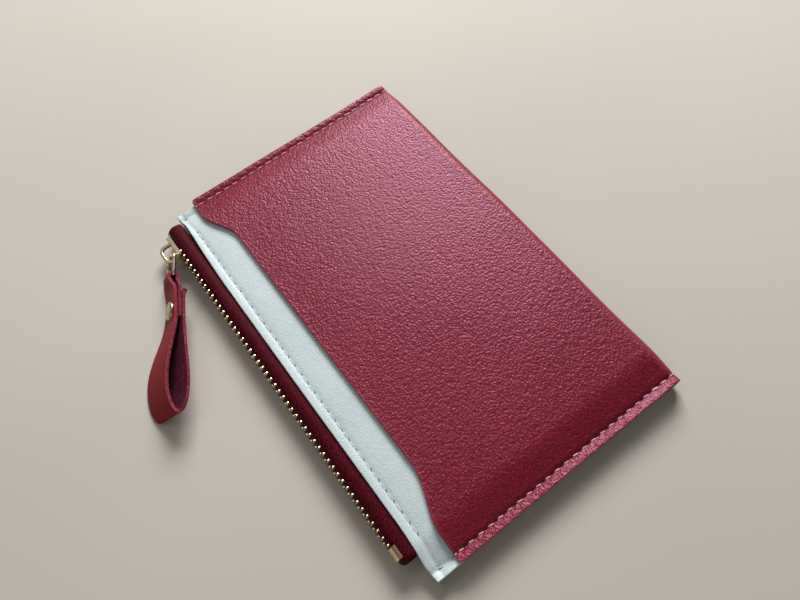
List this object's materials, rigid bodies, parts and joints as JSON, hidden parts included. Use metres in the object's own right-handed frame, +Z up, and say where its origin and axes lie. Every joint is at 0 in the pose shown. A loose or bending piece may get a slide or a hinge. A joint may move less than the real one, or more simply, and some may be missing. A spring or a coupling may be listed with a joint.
{
  "type": "zippered pouch",
  "caption": "Flat folded leather card pouch with a scooped card pocket, a pale inner pouch closed by a metal zip, and a looped strap on the slider's ring.",
  "frame": {"origin": "centre of the flat back, on the surface the pouch lies on", "axes": "+X along the zip from its closed end to its bottom stop, +Y from the zip to the folded edge, +Z up from the back to the front"},
  "size_m": [0.1302, 0.1142, 0.0073],
  "materials": {
    "cover_leather": "fine pebbled grain, low sheen",
    "panel_leather": "smooth fine grain, satin",
    "lining_fabric": "plain thin lining",
    "tape_fabric": "woven tape with a soft sheen",
    "tooth_metal": "bright pale gold plating",
    "slider_metal": "polished pale gold plating",
    "strap_leather": "smooth outside, raw fibrous edges and inside",
    "rivet_metal": "polished pale gold plating",
    "thread_pink": "twisted sewing thread",
    "thread_white": "twisted sewing thread"
  },
  "bodies": {
    "pouch": {"outer_cover": "cover_leather", "pouch_front_panel": "panel_leather", "pouch_back_panel": "panel_leather", "pouch_lining": "lining_fabric", "zipper_tape_rear": "tape_fabric", "zipper_teeth_rear": "tooth_metal", "bottom_stop": "tooth_metal", "top_stop_front": "tooth_metal", "top_stop_rear": "tooth_metal", "side_seam_thread_left": "thread_pink", "side_seam_thread_right": "thread_pink", "zip_seam_thread_front": "thread_white", "zip_seam_thread_rear": "thread_white"},
    "front_lip": {"zipper_tape_front": "tape_fabric", "zipper_teeth_front": "tooth_metal"},
    "slider": {"slider_body": "slider_metal", "slider_bridge": "slider_metal"},
    "ring": {"pull_ring": "slider_metal"},
    "strap": {"pull_strap": "strap_leather", "rivet_cap": "rivet_metal", "rivet_back": "rivet_metal"}
  },
  "joints": [
    {"name": "slider_travel", "type": "slide", "parent": "pouch", "child": "slider", "axis": [1, 0, 0], "range_m": [0, 0.1032], "deforming": ["zipper_tape_front", "zipper_tape_rear", "zipper_teeth_front", "zipper_teeth_rear"]},
    {"name": "front_lip_lift", "type": "hinge", "parent": "pouch", "child": "front_lip", "pos_m": [0, -0.0401, 0.00425], "axis": [-1, 0, 0], "range_deg": [0, 40], "deforming": ["zipper_tape_front", "zipper_teeth_front"]},
    {"name": "ring_swing", "type": "hinge", "parent": "slider", "child": "ring", "pos_m": [-0.05395, -0.048, 0.00335], "axis": [0, 0, -1], "range_deg": [0, 115]},
    {"name": "strap_swing", "type": "hinge", "parent": "ring", "child": "strap", "pos_m": [-0.04745, -0.05153, 0.00335], "axis": [-0.2805, -0.5166, -0.809], "range_deg": [0, 60]}
  ],
  "couplings": [
    {"joint": "front_lip_lift", "follows": "slider_travel", "rad_per_m": 6.7479}
  ]
}
